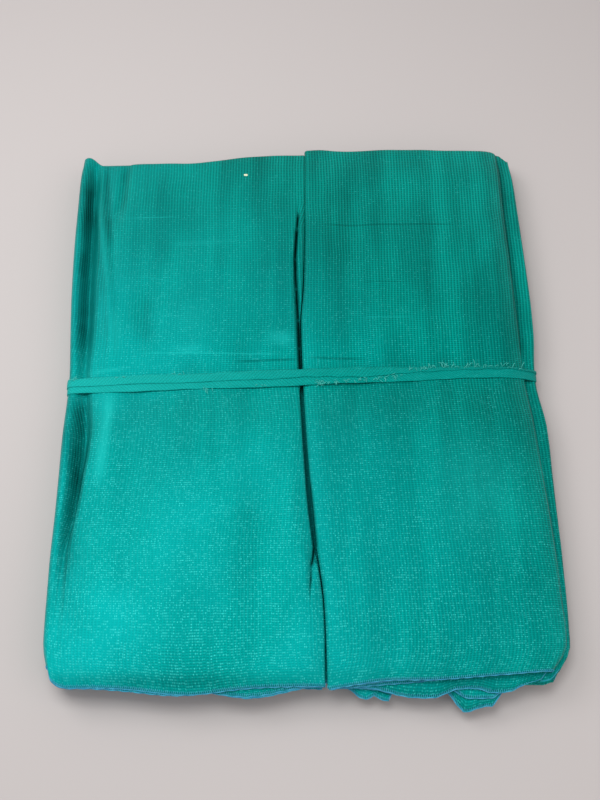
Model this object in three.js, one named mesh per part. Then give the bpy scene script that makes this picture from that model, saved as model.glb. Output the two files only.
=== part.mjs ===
import * as THREE from "three";

// A length of knitted shade net, doubled, folded back and forth across its width
// and tied round the middle with a folded strip of the same net.
// Millimetres, +Z up. X runs across the bundle, Y from its hemmed front to its back.
// The origin is under the middle of the bundle, on the floor.

// The doubled net, and how closely its layers lie. Levels count up from the floor, and
// from the eighth up the net is folded in two halves with a slit between them.
const net = { thick: 2, pitch: 2.9, topLevel: 13, rimRound: 9, floorRound: 10 };
const pileHeight = net.thick + net.pitch * net.topLevel;
const sheetFront = -272;
const sheetBack = 288;
const hiddenEnd = 3.6; // how far the net's end in the right half stays back from the slit
const toOrigin = { x: 0.16, y: -6.2 }; // from the tables' frame to the part's

const table = (columns, rows) =>
  rows.map((row) => Object.fromEntries(columns.map((column, i) => [column, row[i]])));

// Sections of the bundle, from front to back. left, slitLeft, slitRight, packet and right
// are its edges across: the rolled left side, the two sides of the slit, the upper right
// fold and the folds below it. stack is where the left layers start, beside the rolled
// side, and valley how deep the top sags there. squeeze is the share of the height that
// is left, lift the rise of the underside over the tie, tilt the turn of the section.
const sections = table(
  ["y", "left", "stack", "slitLeft", "slitRight", "packet", "right", "valley", "squeeze", "lift", "tilt"],
  [
    [-272, -212, -196, 19.5, 25, 205, 210, 0, 0.88, 0, 0],
    [-248, -221, -203, 19.2, 23, 223, 228, 1, 0.96, 0, 0],
    [-195, -227, -208, 17, 19.6, 229, 235.5, 4, 1.01, 0, 0],
    [-115, -228, -200, 5.5, 11, 225.5, 236, 12, 1.01, 0, 0.01],
    [-28, -227.5, -198, 0, 6, 221, 235, 12, 0.97, 0, 0.028],
    [13, -228, -199, -2, 3, 217, 229, 4, 0.87, 3.3, 0.035],
    [37, -228.4, -198, -3, 2.4, 217, 229, 4, 0.87, 3.3, 0.035],
    [78, -231, -199, -3.8, 1.8, 217, 231, 10, 0.97, 0, 0.025],
    [150, -235, -201, -5, 1.2, 212, 226, 12, 1.01, 0, 0.008],
    [225, -236, -202, -2, 1, 210.5, 224, 13, 1, 0, 0],
    [266, -236, -202, -1, 2, 210.5, 222, 9, 0.99, 0, 0],
    [288, -233, -199, -1, 2.4, 204, 216, 8, 0.94, 0, 0],
  ],
);

// The net's runs in the order it is folded, from its end in the right half to its end in
// the left half. to is the edge that a run reaches and tuck how far it is drawn in there.
// Its front lies on a line from left to right with a bow in it, and so does its back.
const runs = table(
  [
    ...["level", "bends", "to", "tuck", "frontLeft", "frontRight", "frontBow", "bowAt", "bowWide"],
    ...["backLeft", "backRight", "backBow"],
  ],
  [
    [11, "half", "packet", 3.3, -268, -249, -4, 0.5, 0.3, 287, 289, 2],
    [12, "half", "slitRight", 0, -270, -249, -6, 0.5, 0.35, 290, 291, 2],
    [13, "half", "packet", 0, -271, -250, 0, 0.5, 0.3, 292, 295, 2],
    [10, "half", "slitRight", 1.4, -267, -266, -7, 0.62, 0.25, 289, 290, 2],
    [9, "lobed", "right", 0, -267, -262, -21, 0.66, 0.13, 286, 288, 2],
    [8, "lobed", "slitRight", 0.4, -266, -262, -20, 0.66, 0.13, 284, 288, 1],
    [7, "half", "right", 2.5, -263, -264, -12, 0.17, 0.1, 286, 285, -2],
    [6, "whole", "left", 5, -259, -264, -7, 0.6, 0.08, 281, 287, 2],
    [5, "whole", "right", 4, -260, -263, 3, 0.3, 0.2, 283, 286, -2],
    [4, "whole", "left", 5.5, -260, -263, -5, 0.8, 0.12, 284, 284, 2],
    [3, "whole", "right", 1.5, -261, -265, 2, 0.5, 0.2, 283, 285, -3],
    [2, "whole", "left", 9, -261, -265, -4, 0.4, 0.1, 283, 286, 1],
    [1, "whole", "right", 5, -260, -261, 3, 0.7, 0.2, 282, 283, 2],
    [0, "whole", "left", 0, -261, -261, -3, 0.3, 0.2, 284, 285, 0],
    [13, "half", "slitLeft", 0, -268, -265, -8, 0.52, 0.2, 284, 288, -10],
    [12, "half", "stack", 2.5, -264, -266, -10, 0.76, 0.14, 283, 286, -9],
    [11, "half", "slitLeft", 1.5, -262, -267, -4, 0.4, 0.2, 281, 286, -7],
    [10, "half", "stack", 2.5, -264, -264, 2, 0.5, 0.2, 283, 284, -6],
    [9, "half", "slitLeft", 1, -261, -266, -4, 0.3, 0.15, 280, 285, -4],
    [8, "half", "stack", 3, -263, -262, 3, 0.6, 0.2, 282, 283, -2],
    [7, "half", "slitLeft", 2, -260, -264, -3, 0.5, 0.2, 281, 284, 1],
  ],
);
const backBow = { at: 0.33, wide: 0.27 };

// Each edge's side, as the end of a run, and whether the run's bends are counted to it.
const edges = {
  slitLeft: { side: 1, last: false },
  slitRight: { side: -1, last: false },
  packet: { side: 1, last: true },
  right: { side: 1, last: true },
  stack: { side: -1, last: true },
  left: { side: -1, last: false },
};

// Soft ridges and troughs of the top, each along a line from the back to the front.
const reliefs = table(
  ["what", "xBack", "xFront", "wide", "rise"],
  [
    ["edge left of the slit", -4, 18, 12, -1.4],
    ["edge right of the slit", 0, 24, 12, -2],
    ["ridge beside the slit", 16, 44, 14, 1.8],
    ["trough in the right half", 42, 76, 20, -2.6],
    ["swell in the right half", 130, 150, 55, 2],
    ["edge over the right fold", 213, 232, 14, -3],
    ["swell in the left half", -110, -120, 60, 2.2],
  ],
);
const reliefPower = 2.4; // how fast the relief fades in the layers below
const droop = { from: -270, rate: 0.02 }; // how ends that reach past the pile hang

// Where the net bends along a run, as shares of the run from the slit or the left side.
const bends = {
  whole: [0, 0.15, 0.35, 0.5, 0.58, 0.66, 0.8, 1],
  half: [0, 0.04, 0.13, 0.25, 0.4, 0.7, 0.93, 1],
  lobed: [0, 0.04, 0.13, 0.25, 0.4, 0.52, 0.61, 0.7, 0.79, 0.88, 1],
};
const steps = { fold: 3, wideFold: 6, corner: 5, valley: 4 };

// The tie: a strip of net folded in three along its length, pulled round the bundle.
const tie = { width: 15.5, taper: -0.008, upperShare: 0.58, ply: 0.7, gap: 0.22, turn: 0.8 };
const tiePlace = { y: 25, tilt: 0.035, clear: 0.6, spacing: 1.5 };

const { lerp, clamp } = THREE.MathUtils;
const levelHeight = (level) => net.thick / 2 + level * net.pitch;
const bump = (offset, wide) => Math.exp(-((offset / wide) ** 2));

// Where a run's net ends, at a share of the way from its left to its right.
function endsAt(run, share) {
  const bow = run.frontBow * bump(share - run.bowAt, run.bowWide);
  const dip = run.backBow * bump(share - backBow.at, backBow.wide);
  return {
    front: lerp(run.frontLeft, run.frontRight, share) + bow,
    back: lerp(run.backLeft, run.backRight, share) + dip,
  };
}

const mixEnds = (a, b, share) => ({
  front: lerp(a.front, b.front, share),
  back: lerp(a.back, b.back, share),
});

// The points inside one fold between two levels, a half circle that bulges to one side.
function foldPoints(x, fromLevel, toLevel, side) {
  const count = Math.abs(toLevel - fromLevel) > 1 ? steps.wideFold : steps.fold;
  const middle = (levelHeight(fromLevel) + levelHeight(toLevel)) / 2;
  const radius = (levelHeight(toLevel) - levelHeight(fromLevel)) / 2;
  return Array.from({ length: count - 1 }, (_, i) => {
    const share = (i + 1) / count;
    const turn = Math.PI * share;
    const out = side * Math.abs(radius) * Math.sin(turn);
    return { x: x + out, z: middle - radius * Math.cos(turn), share };
  });
}

// The points up the rolled left side: a round corner at the floor, then one at the rim.
function rollPoints(wall) {
  const corners = [
    { round: net.floorRound, z: levelHeight(0) + net.floorRound, start: -Math.PI / 2, first: 1 },
    { round: net.rimRound, z: levelHeight(net.topLevel) - net.rimRound, start: Math.PI, first: 0 },
  ];
  const points = corners.flatMap(({ round, z, start, first }) =>
    Array.from({ length: steps.corner }, (_, i) => {
      const turn = start - ((i + first) / steps.corner) * (Math.PI / 2);
      return { x: wall + round + round * Math.cos(turn), z: z + round * Math.sin(turn) };
    }),
  );
  return points.map((point, i) => ({ ...point, share: (i + 1) / (points.length + 1) }));
}

// The straight part of a run, with the sag beside the rim where the net has rolled over it.
function runPoints(section, run, start, stop, afterRoll) {
  const low = Math.min(start, stop);
  const z = levelHeight(run.level);
  const point = (x, sag) => ({ x, z: z - sag, ...endsAt(run, (x - low) / Math.abs(stop - start)) });
  const points = [];
  let flatStart = start;
  if (afterRoll) {
    flatStart = section.stack;
    for (let i = 0; i < steps.valley; i += 1) {
      const share = i / steps.valley;
      points.push(point(lerp(start, flatStart, share), section.valley * Math.sin(Math.PI * share) ** 2));
    }
  }
  const shares = bends[run.bends];
  const places = edges[run.to].last
    ? shares.map((share) => lerp(flatStart, stop, share))
    : shares.map((share) => lerp(stop, flatStart, share)).reverse();
  return [...points, ...places.map((x) => point(x, 0))];
}

// The middle line of the folded net in one section.
function foldLine(section) {
  const wall = section.left + net.thick / 2;
  const points = [];
  let start = section.slitRight + hiddenEnd;
  let afterRoll = false;
  runs.forEach((run, index) => {
    const next = runs[index + 1];
    const { side } = edges[run.to];
    const rolls = run.level === 0;
    const levels = next ? Math.abs(next.level - run.level) : 0;
    const reach = rolls ? net.floorRound : (levels * net.pitch) / 2;
    const stop = section[run.to] - side * (reach + net.thick / 2 + run.tuck);
    points.push(...runPoints(section, run, start, stop, afterRoll));
    if (next) {
      const edge = side > 0 ? 1 : 0;
      const turn = rolls ? rollPoints(wall) : foldPoints(stop, run.level, next.level, side);
      turn.forEach(({ x, z, share }) => {
        points.push({ x, z, ...mixEnds(endsAt(run, edge), endsAt(next, edge), share) });
      });
    }
    start = rolls ? wall + net.rimRound : stop;
    afterRoll = rolls;
  });
  return points;
}

// One face of the net in a section: the middle line moved half a thickness to a side.
function faceLine(line, side) {
  return line.map((point, i) => {
    const before = line[Math.max(i - 1, 0)];
    const after = line[Math.min(i + 1, line.length - 1)];
    const step = Math.hypot(after.x - before.x, after.z - before.z);
    const half = (side * net.thick) / 2;
    const x = point.x - (half * (after.z - before.z)) / step;
    const z = point.z + (half * (after.x - before.x)) / step;
    return { ...point, x, z };
  });
}

// A column of the sections' table at a place between two sections.
function sectionValue(column, y) {
  const next = sections.findIndex((section) => section.y > y);
  if (next < 1) return sections[next < 0 ? sections.length - 1 : 0][column];
  const [before, after] = [sections[next - 1], sections[next]];
  return lerp(before[column], after[column], (y - before.y) / (after.y - before.y));
}

// The height that the ridges and troughs give the top at a place.
function reliefAt(x, y) {
  const share = clamp((sheetBack - y) / (sheetBack - sheetFront), 0, 1);
  return reliefs.reduce(
    (sum, { xBack, xFront, wide, rise }) => sum + rise * bump(x - lerp(xBack, xFront, share), wide),
    0,
  );
}

// A section's point in its final place, with its run's own ends, squeezed and in relief.
function settle(point, section) {
  const toFront = clamp((section.y + 200) / (sheetFront + 200), 0, 1);
  const toBack = clamp((section.y - 215) / (sheetBack - 215), 0, 1);
  const ends = toFront * (point.front - sheetFront) + toBack * (point.back - sheetBack);
  const y = section.y + section.tilt * point.x + ends;
  const top = pileHeight * sectionValue("squeeze", section.y + ends);
  const share = point.z / pileHeight;
  const hang = droop.rate * Math.max(0, droop.from - y) ** 2;
  const rise = reliefAt(point.x, y) * share ** reliefPower - hang * share;
  const z = lerp(section.lift, top, share) + rise;
  return new THREE.Vector3(point.x + toOrigin.x, y + toOrigin.y, z);
}

// A flat sheet with a step for each step of the fold line, folded into place.
function foldedNet() {
  const faces = sections.map((section) => {
    const line = foldLine(section);
    return [faceLine(line, -1), faceLine(line, 1)];
  });
  const across = faces[0][0].length - 1;
  const along = sections.length - 1;
  const sheet = new THREE.BoxGeometry(across, along, 1, across, along, 1);
  const place = sheet.getAttribute("position");
  for (let i = 0; i < place.count; i += 1) {
    const step = Math.round(place.getX(i) + across / 2);
    const row = Math.round(place.getY(i) + along / 2);
    const face = place.getZ(i) > 0 ? 1 : 0;
    const { x, y, z } = settle(faces[row][face][step], sections[row]);
    place.setXYZ(i, x, y, z);
  }
  return sheet;
}

// Half of the tight outline of points sorted along it: each corner turns left.
function tightHalf(points) {
  const kept = [];
  points.forEach((p) => {
    while (kept.length > 1) {
      const [a, b] = kept.slice(-2);
      if ((b.x - a.x) * (p.y - a.y) - (b.y - a.y) * (p.x - a.x) > 0) break;
      kept.pop();
    }
    kept.push(p);
  });
  return kept.slice(0, -1);
}

// The tight outline of the bundle where the tie lies, thinned to the tie's own spacing.
function tightOutline() {
  const underTie = sections.filter((section) => section.lift > 0);
  const points = underTie.flatMap((section) => {
    const line = foldLine(section);
    return [...faceLine(line, -1), ...faceLine(line, 1)].map((point) => {
      const { x, z } = settle(point, section);
      return new THREE.Vector2(x, z);
    });
  });
  points.sort((a, b) => a.x - b.x || a.y - b.y);
  const outline = [...tightHalf(points), ...tightHalf([...points].reverse())];
  const kept = [];
  outline.forEach((p) => {
    if (!kept.length || p.distanceTo(kept[kept.length - 1]) > tiePlace.spacing) kept.push(p);
  });
  return kept;
}

// The strip's section, folded in three: along runs over its width, out away from the net.
function stripSection(width) {
  const { ply, gap, turn } = tie;
  const half = width / 2;
  const upperEdge = half - tie.upperShare * width;
  const second = ply + gap;
  const third = 2 * second;
  return [
    { along: -half + turn, out: 0 },
    { along: half, out: 0 },
    { along: half, out: ply },
    { along: -half + 2 * turn, out: ply },
    { along: -half + 2 * turn, out: second },
    { along: half - turn, out: second },
    { along: half, out: second + ply / 2 },
    { along: half, out: third + ply / 2 },
    { along: half - turn, out: third + ply },
    { along: upperEdge, out: third + ply },
    { along: upperEdge, out: third },
    { along: half - 2 * turn, out: third },
    { along: half - 2 * turn, out: second + ply },
    { along: -half + turn, out: second + ply },
    { along: -half, out: second + ply / 2 },
    { along: -half, out: ply / 2 },
  ];
}

// The strip drawn round the bundle, as a ring whose section is moved along the outline.
function tieRing() {
  const outline = tightOutline();
  const count = outline.length;
  const sides = stripSection(tie.width).length;
  const ring = new THREE.TorusGeometry(100, 10, sides, count);
  const place = ring.getAttribute("position");
  for (let i = 0; i < place.count; i += 1) {
    const at = (i % (count + 1)) % count;
    const here = outline[at];
    const into = here.clone().sub(outline[(at + count - 1) % count]).normalize();
    const away = outline[(at + 1) % count].clone().sub(here).normalize();
    const along = into.clone().add(away).normalize();
    const section = stripSection(tie.width + tie.taper * here.x);
    const corner = section[Math.floor(i / (count + 1)) % sides];
    const reach = (tiePlace.clear + corner.out) / along.dot(away);
    const y = tiePlace.y + tiePlace.tilt * (here.x - toOrigin.x) + toOrigin.y + corner.along;
    place.setXYZ(i, here.x + along.y * reach, y, here.y - along.x * reach);
  }
  return ring;
}

const netFinish = new THREE.MeshStandardMaterial({ color: "#0f9a8c", roughness: 0.55, metalness: 0 });
const tieFinish = new THREE.MeshStandardMaterial({ color: "#12a698", roughness: 0.5, metalness: 0 });

const bundle = new THREE.Group();

const folded = new THREE.Mesh(foldedNet(), netFinish);
folded.name = "net";
bundle.add(folded);

const strip = new THREE.Mesh(tieRing(), tieFinish);
strip.name = "tie_strip";
bundle.add(strip);

export default bundle;
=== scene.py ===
import math
import random

import bmesh
import bpy
import numpy as np
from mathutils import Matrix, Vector


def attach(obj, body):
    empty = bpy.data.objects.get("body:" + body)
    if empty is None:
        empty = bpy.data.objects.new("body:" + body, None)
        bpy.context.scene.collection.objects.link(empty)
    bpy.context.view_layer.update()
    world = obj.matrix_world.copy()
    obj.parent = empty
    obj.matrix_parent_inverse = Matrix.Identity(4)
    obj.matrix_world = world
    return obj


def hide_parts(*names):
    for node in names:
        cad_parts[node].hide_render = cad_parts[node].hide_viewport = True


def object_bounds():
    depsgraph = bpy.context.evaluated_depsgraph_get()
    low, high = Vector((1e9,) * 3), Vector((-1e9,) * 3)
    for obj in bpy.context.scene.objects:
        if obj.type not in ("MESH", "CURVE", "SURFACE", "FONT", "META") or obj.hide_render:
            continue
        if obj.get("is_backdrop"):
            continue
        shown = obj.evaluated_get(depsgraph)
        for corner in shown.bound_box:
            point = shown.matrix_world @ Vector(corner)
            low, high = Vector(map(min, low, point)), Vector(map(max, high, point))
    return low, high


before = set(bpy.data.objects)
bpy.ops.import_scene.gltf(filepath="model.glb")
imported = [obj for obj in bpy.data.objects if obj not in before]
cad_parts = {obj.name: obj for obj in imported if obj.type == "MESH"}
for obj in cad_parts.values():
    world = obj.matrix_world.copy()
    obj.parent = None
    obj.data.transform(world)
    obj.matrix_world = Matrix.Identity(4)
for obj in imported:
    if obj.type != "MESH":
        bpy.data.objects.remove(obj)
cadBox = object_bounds()
print("frame loaded:", sorted(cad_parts))

mm = 0.001
random.seed(7)

# The net in millimetres, as in the CAD part, and its two real plies inside each layer
net = {
    "thick": 2.0,
    "pitch": 2.9,
    "topLevel": 13,
    "rimRound": 4.5,
    "floorRound": 10,
    "front": -272,
    "back": 288,
    "frontPart": -200,  # from here to the front, and from backPart to the back, each run has its own reach
    "backPart": 215,
    "hiddenEnd": 3.6,
    "plyOffset": 0.52,
    "plyThick": 0.6,
    "foldBulge": 0.95,  # half the height of the loop where the net is doubled at the back
    "bulgeReach": 9,
    "valleyAt": (0.7, 0.52),  # where the sag beside the rim is deepest, at the front and at the back
    "foldSquare": 0.55,  # below 1 the folds are fuller than half a circle
}
pileHeight = net["thick"] + net["pitch"] * net["topLevel"]
shift = (0.16, -6.2)  # from the tables' places to the part's origin

# Sections of the bundle from front to back, with the same columns as the part
sectionNames = ["y", "left", "stack", "slitLeft", "slitRight", "packet", "right", "valley", "squeeze", "lift",
                "tilt"]
sectionRows = np.array([
    [-272, -223, -204, 19.0, 20.4, 216, 224, 0, 0.88, 0, 0],
    [-248, -227, -210, 18.8, 20.0, 229, 234.5, 0, 0.96, 0, 0],
    [-222, -228, -211, 18.8, 19.4, 231.5, 236, 0.5, 1.0, 0, 0],
    [-188, -228.5, -211, 17.0, 17.6, 230.4, 236.6, 1.2, 1.01, 0, 0],
    [-160, -229, -211, 13.2, 14.0, 229.7, 236.6, 3, 1.01, 0, 0],
    [-143, -229, -211, 9.4, 11.4, 229, 236.6, 5, 1.01, 0, 0.006],
    [-115, -228.4, -207, 5.4, 9.2, 227.5, 236, 12, 1.01, 0, 0.01],
    [-72, -228.6, -203, 2.0, 5.0, 224.5, 235.5, 13, 0.99, 0, 0.02],
    [-28, -229, -199, -0.6, 2.0, 221.5, 235, 12, 0.97, 0, 0.028],
    [13, -228.4, -203, -2.8, 0.0, 217.5, 229, 6, 0.87, 3.3, 0.035],
    [37, -228.4, -206, -1.4, -0.8, 216, 229, 6, 0.87, 3.3, 0.035],
    [66, -230, -205, -2.2, -1.8, 215.4, 231, 10, 0.95, 0.8, 0.028],
    [92, -231.8, -205, -2.3, -1.9, 214.6, 231.4, 12, 0.98, 0, 0.02],
    [120, -233.5, -206, -0.2, 0.2, 213.6, 231, 12, 1.0, 0, 0.014],
    [176, -235.5, -208, 1.7, 1.4, 212, 229, 12, 1.01, 0, 0.006],
    [225, -236, -210, 2.4, 1.7, 210.6, 227, 10, 1, 0, 0],
    [266, -236, -210, 2.7, 1.9, 210, 225, 8, 0.99, 0, 0],
    [288, -234, -210, 2.8, 2.0, 208, 222, 2, 0.95, 0, 0],
])


def named(names, rows):
    return [dict(zip(names, row)) for row in rows]


# The net's runs in folding order: level, bends, edge reached, tuck there, front ends, back ends
runNames = ["level", "bends", "to", "tuck", "frontLeft", "frontRight", "frontBow", "bowAt", "bowWide",
            "backLeft", "backRight", "backBow"]
runRows = [
    [11, "half", "packet", 3.3, -268, -249, -2, 0.5, 0.3, 287, 289, 2],
    [12, "waved", "slitRight", 0, -267, -252, 2, 0.25, 0.2, 290, 291, 2],
    [13, "rightTop", "packet", 0, -269, -254, 3.5, 0.25, 0.18, 291, 293, 2],
    [10, "ruffled", "slitRight", 1.4, -267, -264, 0, 0.5, 0.2, 290, 298, 2],
    [9, "ruffled", "right", 0, -266, -263, 0, 0.5, 0.2, 289, 298, 2],
    [8, "ruffled", "slitRight", 0.4, -265, -261.5, 0, 0.5, 0.2, 288, 297, 1],
    [7, "ruffled", "right", 2.5, -263, -260, 0, 0.5, 0.2, 288, 296, -2],
    [6, "whole", "left", 5, -259, -259, -5, 0.6, 0.08, 286, 294, 2],
    [5, "whole", "right", 4, -260, -257.5, 3, 0.3, 0.2, 288, 292, -2],
    [4, "whole", "left", 5.5, -260, -256, -5, 0.8, 0.12, 289, 291, 2],
    [3, "whole", "right", 1.5, -261, -255, 2, 0.5, 0.2, 288, 291, -3],
    [2, "whole", "left", 9, -261, -254, -4, 0.4, 0.1, 288, 290, 1],
    [1, "whole", "right", 5, -260, -253, 3, 0.7, 0.2, 287, 288, 2],
    [0, "whole", "left", 0, -261, -252, -3, 0.3, 0.2, 286, 288, 0],
    [13, "leftTop", "slitLeft", 0, -268, -266.5, -6.5, 0.5, 0.18, 284.5, 287, -10.5],
    [12, "wavedFromSlit", "stack", 2.5, -266, -266, -8, 0.7, 0.16, 283, 286, -9],
    [11, "toSlit", "slitLeft", 1.5, -263, -266, -4, 0.4, 0.2, 282, 286, -8],
    [10, "fromSlit", "stack", 2.5, -264, -264, 2, 0.5, 0.2, 283, 285, -7],
    [9, "toSlit", "slitLeft", 1, -261, -266, -4, 0.3, 0.15, 282, 286, -6],
    [8, "fromSlit", "stack", 3, -263, -262, 3, 0.6, 0.2, 283, 286, -5],
    [7, "toSlit", "slitLeft", 2, -260, -264, -3, 0.5, 0.2, 282, 287, -4],
]
runs = named(runNames, runRows)
backBow = {"steep": 0.08, "from": 0.45, "to": 0.87}  # shares of the run where the back end dips
edgeSide = {"slitLeft": 1, "slitRight": -1, "packet": 1, "right": 1, "stack": -1, "left": -1}

# Ruffles of the front ends: run, share where each rises, stands, falls and ends, and how far out
ruffleNames = ["run", "rises", "stands", "falls", "ends", "out"]
ruffleRows = [
    [3, 0.14, 0.38, 0.46, 0.6, -8],
    [3, 0.66, 0.76, 0.82, 0.9, -5],
    [4, 0.12, 0.3, 0.5, 0.52, -5],
    [4, 0.5, 0.6, 0.735, 0.75, -11],
    [5, 0.05, 0.2, 0.45, 0.5, -3],
    [5, 0.48, 0.585, 0.735, 0.75, -18],
    [5, 0.53, 0.58, 0.6, 0.67, -3.5],
    [6, 0.05, 0.13, 0.26, 0.3, -9],
    [6, 0.11, 0.15, 0.17, 0.2, -4],
    [6, 0.2, 0.24, 0.26, 0.28, -5.5],
    [15, 0.35, 0.6, 0.8, 0.97, -2],
]
ruffles = named(ruffleNames, ruffleRows)
corner = {"share": 0.06, "front": 13, "back": 10}  # how the ends draw back beside the outer edges

# Where the steps along a run lie: share of the run and steps up to there
bendSteps = {
    "rightTop": [(0.045, 6), (0.27, 12), (0.9, 20), (1, 8)],
    "leftTop": [(0.28, 26), (0.9, 23), (1, 17)],
    "ruffled": [(1, 31)],
    "waved": [(1, 14)],
    "wavedFromSlit": [(0.07, 11), (1, 12)],
    "fromSlit": [(0.07, 12), (0.95, 6), (1, 2)],
    "toSlit": [(0.05, 2), (0.93, 6), (1, 12)],
    "half": [(0.05, 2), (0.95, 6), (1, 2)],
    "whole": [(0.04, 2), (0.96, 6), (1, 2)],
}
foldSteps = {"fold": 4, "wideFold": 8, "corner": 8, "valley": 12}

# Soft ridges and troughs of the top. Each follows an edge of the sections, a little inside
# or outside it, between two places along the bundle, where it fades out.
reliefNames = ["edge", "offBack", "offFront", "wide", "rise", "yFrom", "yTo", "fade"]
reliefRows = [
    ["slitLeft", -1, -1, 6, -0.8, -400, 110, 30],
    ["slitRight", 1, 1, 4, -0.6, -400, 110, 30],
    ["slitRight", 18, 14, 11, 1.0, -400, 400, 30],
    ["slitRight", 50, 60, 17, -1.6, -400, 400, 30],
    ["slitRight", 48, 50, 9, -0.6, 120, 262, 30],
    ["slitRight", 130, 128, 55, 1.4, -400, 400, 30],
    ["slitLeft", 0, 0, 3, -1.6, 105, 225, 20],
    ["packet", 1, 1, 11, -4.0, -400, 400, 30],
    ["left", 125, 110, 60, 1.6, -400, 400, 30],
    ["stack", 6, 8, 22, -3.0, 190, 400, 60],
    ["stack", 10, 12, 11, 0.9, -110, 150, 50],
    ["stack", -4, -4, 14, -1.2, -230, -110, 30],
    ["stack", 44, 50, 16, -0.8, -400, 150, 60],
    ["slitLeft", -36, -46, 18, -1.0, -400, -40, 50],
    ["slitLeft", -16, -14, 9, 0.7, -400, -60, 40],
    ["slitRight", 95, 90, 17, -0.6, -400, 400, 30],
    ["slitRight", 165, 160, 20, -0.5, -400, 400, 30],
    ["slitLeft", -105, -110, 22, -0.6, -400, 400, 30],
]
reliefs = named(reliefNames, reliefRows)

# Creases of the top that run their own way: half width, rise, and the places they go through
creaseLines = {
    "ridgeByRim": (4.5, 1.9, [(-220, 236), (-210, 206), (-202, 168), (-196, 130), (-190, 80), (-186, 30)]),
    "troughByRim": (3.2, -1.9, [(-211, 284), (-209, 246), (-204, 216), (-199, 186), (-193, 150),
                                (-187, 118)]),
    "secondTrough": (4.5, -2.0, [(-187, 286), (-188, 252), (-191, 222), (-193, 200)]),
    "secondRidge": (4.5, 1.0, [(-199, 280), (-197, 250), (-196, 226)]),
    "diagonal": (6, 0.9, [(-165, 160), (-120, 150), (-70, 152)]),
    "slant": (3, 0.7, [(-152, 120), (-136, 98), (-128, 84)]),
}
# The crack beside the slit, where the left half's last fold has sunk: half width, depth, x, y
crackRows = [
    [(1.0, 0, -4.2, 222), (1.2, 4, -4.9, 212), (1.4, 6.5, -6.3, 192), (1.6, 6.5, -8.2, 158),
     (1.9, 6.5, -6.9, 124), (2.3, 6.5, -4.7, 88), (2.2, 6.5, -3.8, 58), (1.9, 6.5, -2.6, 34),
     (1.9, 0, -2.2, 24)],
    [(1.6, 0, 10.4, -130), (1.7, 6, 10.2, -145), (1.4, 5, 7.3, -161), (1.2, 2.5, 6.3, -172),
     (1.0, 0, 5.7, -192)],
]
reliefPower = 2.4
droop = {"from": -270, "rate": 0.02}
frontSlope = {"from": -252, "reach": 17, "drop": 2.0}


def bump(offset, wide):
    return np.exp(-(offset / wide) ** 2)


def ease(x):
    x = np.clip(x, 0, 1)
    return x * x * (3 - 2 * x)


def lengthAlong(points):
    # How far along a row of points each one lies
    return np.concatenate([[0], np.cumsum(np.linalg.norm(np.diff(points, axis=0), axis=1))])


def sectionAt(y):
    # A smooth curve through the rows of the table
    ys = sectionRows[:, 0]
    k = int(np.clip(np.searchsorted(ys, y) - 1, 0, len(ys) - 2))
    low, high = sectionRows[k], sectionRows[k + 1]
    before, after = sectionRows[max(k - 1, 0)], sectionRows[min(k + 2, len(ys) - 1)]
    step = high[0] - low[0]
    t = (y - low[0]) / step
    slopeLow = (high - before) / (high[0] - before[0]) * step
    slopeHigh = (after - low) / (after[0] - low[0]) * step
    row = ((2 * t ** 3 - 3 * t ** 2 + 1) * low + (t ** 3 - 2 * t ** 2 + t) * slopeLow
           + (3 * t ** 2 - 2 * t ** 3) * high + (t ** 3 - t ** 2) * slopeHigh)
    return dict(zip(sectionNames, row))


# The same columns over a fine range of y, for whole arrays of points
fineY = np.linspace(-300, 310, 306)
fineSections = [sectionAt(y) for y in np.clip(fineY, net["front"], net["back"])]
fineColumns = {name: np.array([s[name] for s in fineSections]) for name in sectionNames}


def columnAt(name, y):
    return np.interp(y, fineY, fineColumns[name])


def levelHeight(level):
    return net["thick"] / 2 + level * net["pitch"]


def endsAt(index, share):
    # Where the net ends at the front and at the back, a share of the way across a run
    run = runs[index]
    bow = run["frontBow"] * bump(share - run["bowAt"], run["bowWide"])
    for r in ruffles:
        if r["run"] == index:
            rise = ease((share - r["rises"]) / (r["stands"] - r["rises"]))
            bow += r["out"] * rise * ease((r["ends"] - share) / (r["ends"] - r["falls"]))
    dip = run["backBow"] * (ease(share / backBow["steep"]) if run["bends"] == "leftTop" else 1)
    dip *= ease((backBow["to"] - share) / (backBow["to"] - backBow["from"]))
    front = run["frontLeft"] + (run["frontRight"] - run["frontLeft"]) * share + bow
    back = run["backLeft"] + (run["backRight"] - run["backLeft"]) * share + dip
    near = 0
    if run["to"] == "right" or index in (3, 5):
        near = max(0, (share - 1 + corner["share"]) / corner["share"]) ** 2
    frontNear = max(0, 1 - share / corner["share"]) ** 2 * 0.6 if run["bends"] == "leftTop" else near
    return np.array([front + corner["front"] * frontNear * 0.75, back - corner["back"] * near])


def spread(stops, low=0.0):
    # Places from low to the last stop, with the given number of steps up to each stop
    places = []
    for high, count in stops:
        places.extend(np.linspace(low, high, count, endpoint=False))
        low = high
    return np.array(places + [low])


def foldPoints(x, fromLevel, toLevel, side):
    count = foldSteps["wideFold" if abs(toLevel - fromLevel) > 1 else "fold"]
    middle = (levelHeight(fromLevel) + levelHeight(toLevel)) / 2
    radius = (levelHeight(toLevel) - levelHeight(fromLevel)) / 2
    for i in range(1, count):
        turn = math.pi * i / count
        out = abs(radius) * math.sin(turn) ** net["foldSquare"]
        yield x + side * out, middle - radius * math.cos(turn), i / count


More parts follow.
